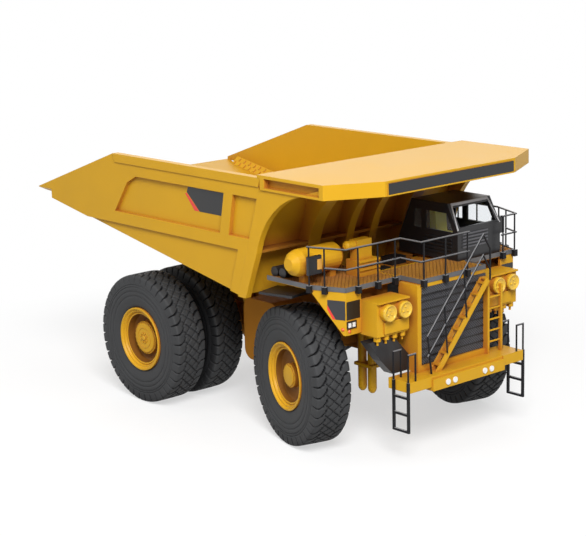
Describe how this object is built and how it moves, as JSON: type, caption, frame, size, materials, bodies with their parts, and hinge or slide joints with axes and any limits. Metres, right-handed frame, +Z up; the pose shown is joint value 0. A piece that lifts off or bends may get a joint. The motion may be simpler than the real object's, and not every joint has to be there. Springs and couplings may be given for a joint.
{
  "type": "scale model mining dump truck",
  "caption": "1:50 die-cast model of a rigid mining dump truck with a tipping bed, steering front wheels, twin rear wheels, cab, decks, stairs and railings",
  "frame": {"origin": "on the ground under the middle of the bounding box", "axes": "+X forward, +Y to the truck's left, +Z up"},
  "size_m": [0.27, 0.1456, 0.1388],
  "materials": {
    "yellow_paint": "semi-gloss construction yellow enamel on die-cast metal",
    "black_plastic": "satin black moulded plastic",
    "black_wire": "black painted wire",
    "tyre_rubber": "dull dark grey rubber",
    "clear_pane": "clear styrene pane",
    "seat_yellow": "matt yellow plastic",
    "lamp_white": "white lamp faces",
    "dark_metal": "dark grey paint",
    "bright_rod": "bright turned rod"
  },
  "bodies": {
    "chassis": {"chassis_frame": "yellow_paint", "rear_axle_housing": "yellow_paint", "rear_struts": "yellow_paint", "front_struts": "yellow_paint", "engine_block": "dark_metal", "radiator_core": "dark_metal", "radiator_grille": "black_plastic", "grille_frame": "yellow_paint", "front_bumper": "yellow_paint", "fog_lamps": "lamp_white", "access_ladder_left": "black_wire", "access_ladder_right": "black_wire", "deck_left": "yellow_paint", "deck_right": "yellow_paint", "deck_centre": "yellow_paint", "headlamps_left": "yellow_paint", "headlamps_right": "yellow_paint", "cab_shell": "black_plastic", "cab_glazing": "clear_pane", "cab_seat": "seat_yellow", "railing_left": "black_wire", "railing_right": "black_wire", "stairway": "yellow_paint", "stair_handrails": "black_wire", "grille_ladder": "yellow_paint", "fuel_tank": "yellow_paint", "hydraulic_tank": "yellow_paint", "accumulators": "yellow_paint", "air_cleaner": "yellow_paint", "mirror_left": "black_plastic", "mirror_right": "black_plastic", "exhaust_pipes": "black_plastic", "deck_hood": "yellow_paint", "intake_box": "yellow_paint", "side_step": "black_plastic", "air_duct": "black_plastic"},
    "bed": {"dump_bed": "yellow_paint", "bed_canopy": "yellow_paint", "canopy_ribs": "yellow_paint", "canopy_shelves": "yellow_paint"},
    "steering_left": {"knuckle_left": "yellow_paint"},
    "front_wheel_left": {"front_rim_left": "yellow_paint", "front_tyre_left": "tyre_rubber"},
    "rear_wheel_left": {"rear_rim_left": "yellow_paint", "rear_tyres_left": "tyre_rubber"},
    "barrel_left": {"hoist_barrel_left": "yellow_paint"},
    "rod_left": {"hoist_rod_left": "bright_rod"},
    "steering_right": {"knuckle_right": "yellow_paint"},
    "front_wheel_right": {"front_rim_right": "yellow_paint", "front_tyre_right": "tyre_rubber"},
    "rear_wheel_right": {"rear_rim_right": "yellow_paint", "rear_tyres_right": "tyre_rubber"},
    "barrel_right": {"hoist_barrel_right": "yellow_paint"},
    "rod_right": {"hoist_rod_right": "bright_rod"}
  },
  "joints": [
    {"name": "bed_tip", "type": "hinge", "parent": "chassis", "child": "bed", "pos_m": [-0.0752, 0, 0.078], "axis": [0, -1, 0], "range_deg": [0, 45]},
    {"name": "steer_left", "type": "hinge", "parent": "chassis", "child": "steering_left", "pos_m": [0.0728, 0.037, 0.0356], "axis": [0, 0, 1], "range_deg": [-8, 36]},
    {"name": "spin_front_left", "type": "hinge", "parent": "steering_left", "child": "front_wheel_left", "pos_m": [0.07691, 0.0535, 0.0356], "axis": [0.2419, 0.9703, 0], "continuous": true},
    {"name": "spin_rear_left", "type": "hinge", "parent": "chassis", "child": "rear_wheel_left", "pos_m": [-0.0453, 0.04788, 0.0356], "axis": [0, 1, 0], "continuous": true},
    {"name": "hoist_tilt_left", "type": "hinge", "parent": "chassis", "child": "barrel_left", "pos_m": [0.0008, 0.0212, 0.03], "axis": [0, -1, 0], "range_deg": [-1, 2.71]},
    {"name": "hoist_slide_left", "type": "slide", "parent": "barrel_left", "child": "rod_left", "axis": [-0.3776, 0, 0.926], "range_m": [0, 0.04262]},
    {"name": "steer_right", "type": "hinge", "parent": "chassis", "child": "steering_right", "pos_m": [0.0728, -0.037, 0.0356], "axis": [0, 0, 1], "range_deg": [-8, 36]},
    {"name": "spin_front_right", "type": "hinge", "parent": "steering_right", "child": "front_wheel_right", "pos_m": [0.06869, -0.0535, 0.0356], "axis": [0.2419, 0.9703, 0], "continuous": true},
    {"name": "spin_rear_right", "type": "hinge", "parent": "chassis", "child": "rear_wheel_right", "pos_m": [-0.0453, -0.04788, 0.0356], "axis": [0, 1, 0], "continuous": true},
    {"name": "hoist_tilt_right", "type": "hinge", "parent": "chassis", "child": "barrel_right", "pos_m": [0.0008, -0.0212, 0.03], "axis": [0, -1, 0], "range_deg": [-1, 2.71]},
    {"name": "hoist_slide_right", "type": "slide", "parent": "barrel_right", "child": "rod_right", "axis": [-0.3776, 0, 0.926], "range_m": [0, 0.04262]}
  ],
  "couplings": [
    {"joint": "hoist_tilt_left", "follows": "bed_tip", "ratio": 0.03793},
    {"joint": "hoist_slide_left", "follows": "bed_tip", "m_per_rad": 0.053633},
    {"joint": "hoist_tilt_right", "follows": "bed_tip", "ratio": 0.03793},
    {"joint": "hoist_slide_right", "follows": "bed_tip", "m_per_rad": 0.053633},
    {"joint": "steer_right", "follows": "steer_left", "ratio": 1}
  ]
}
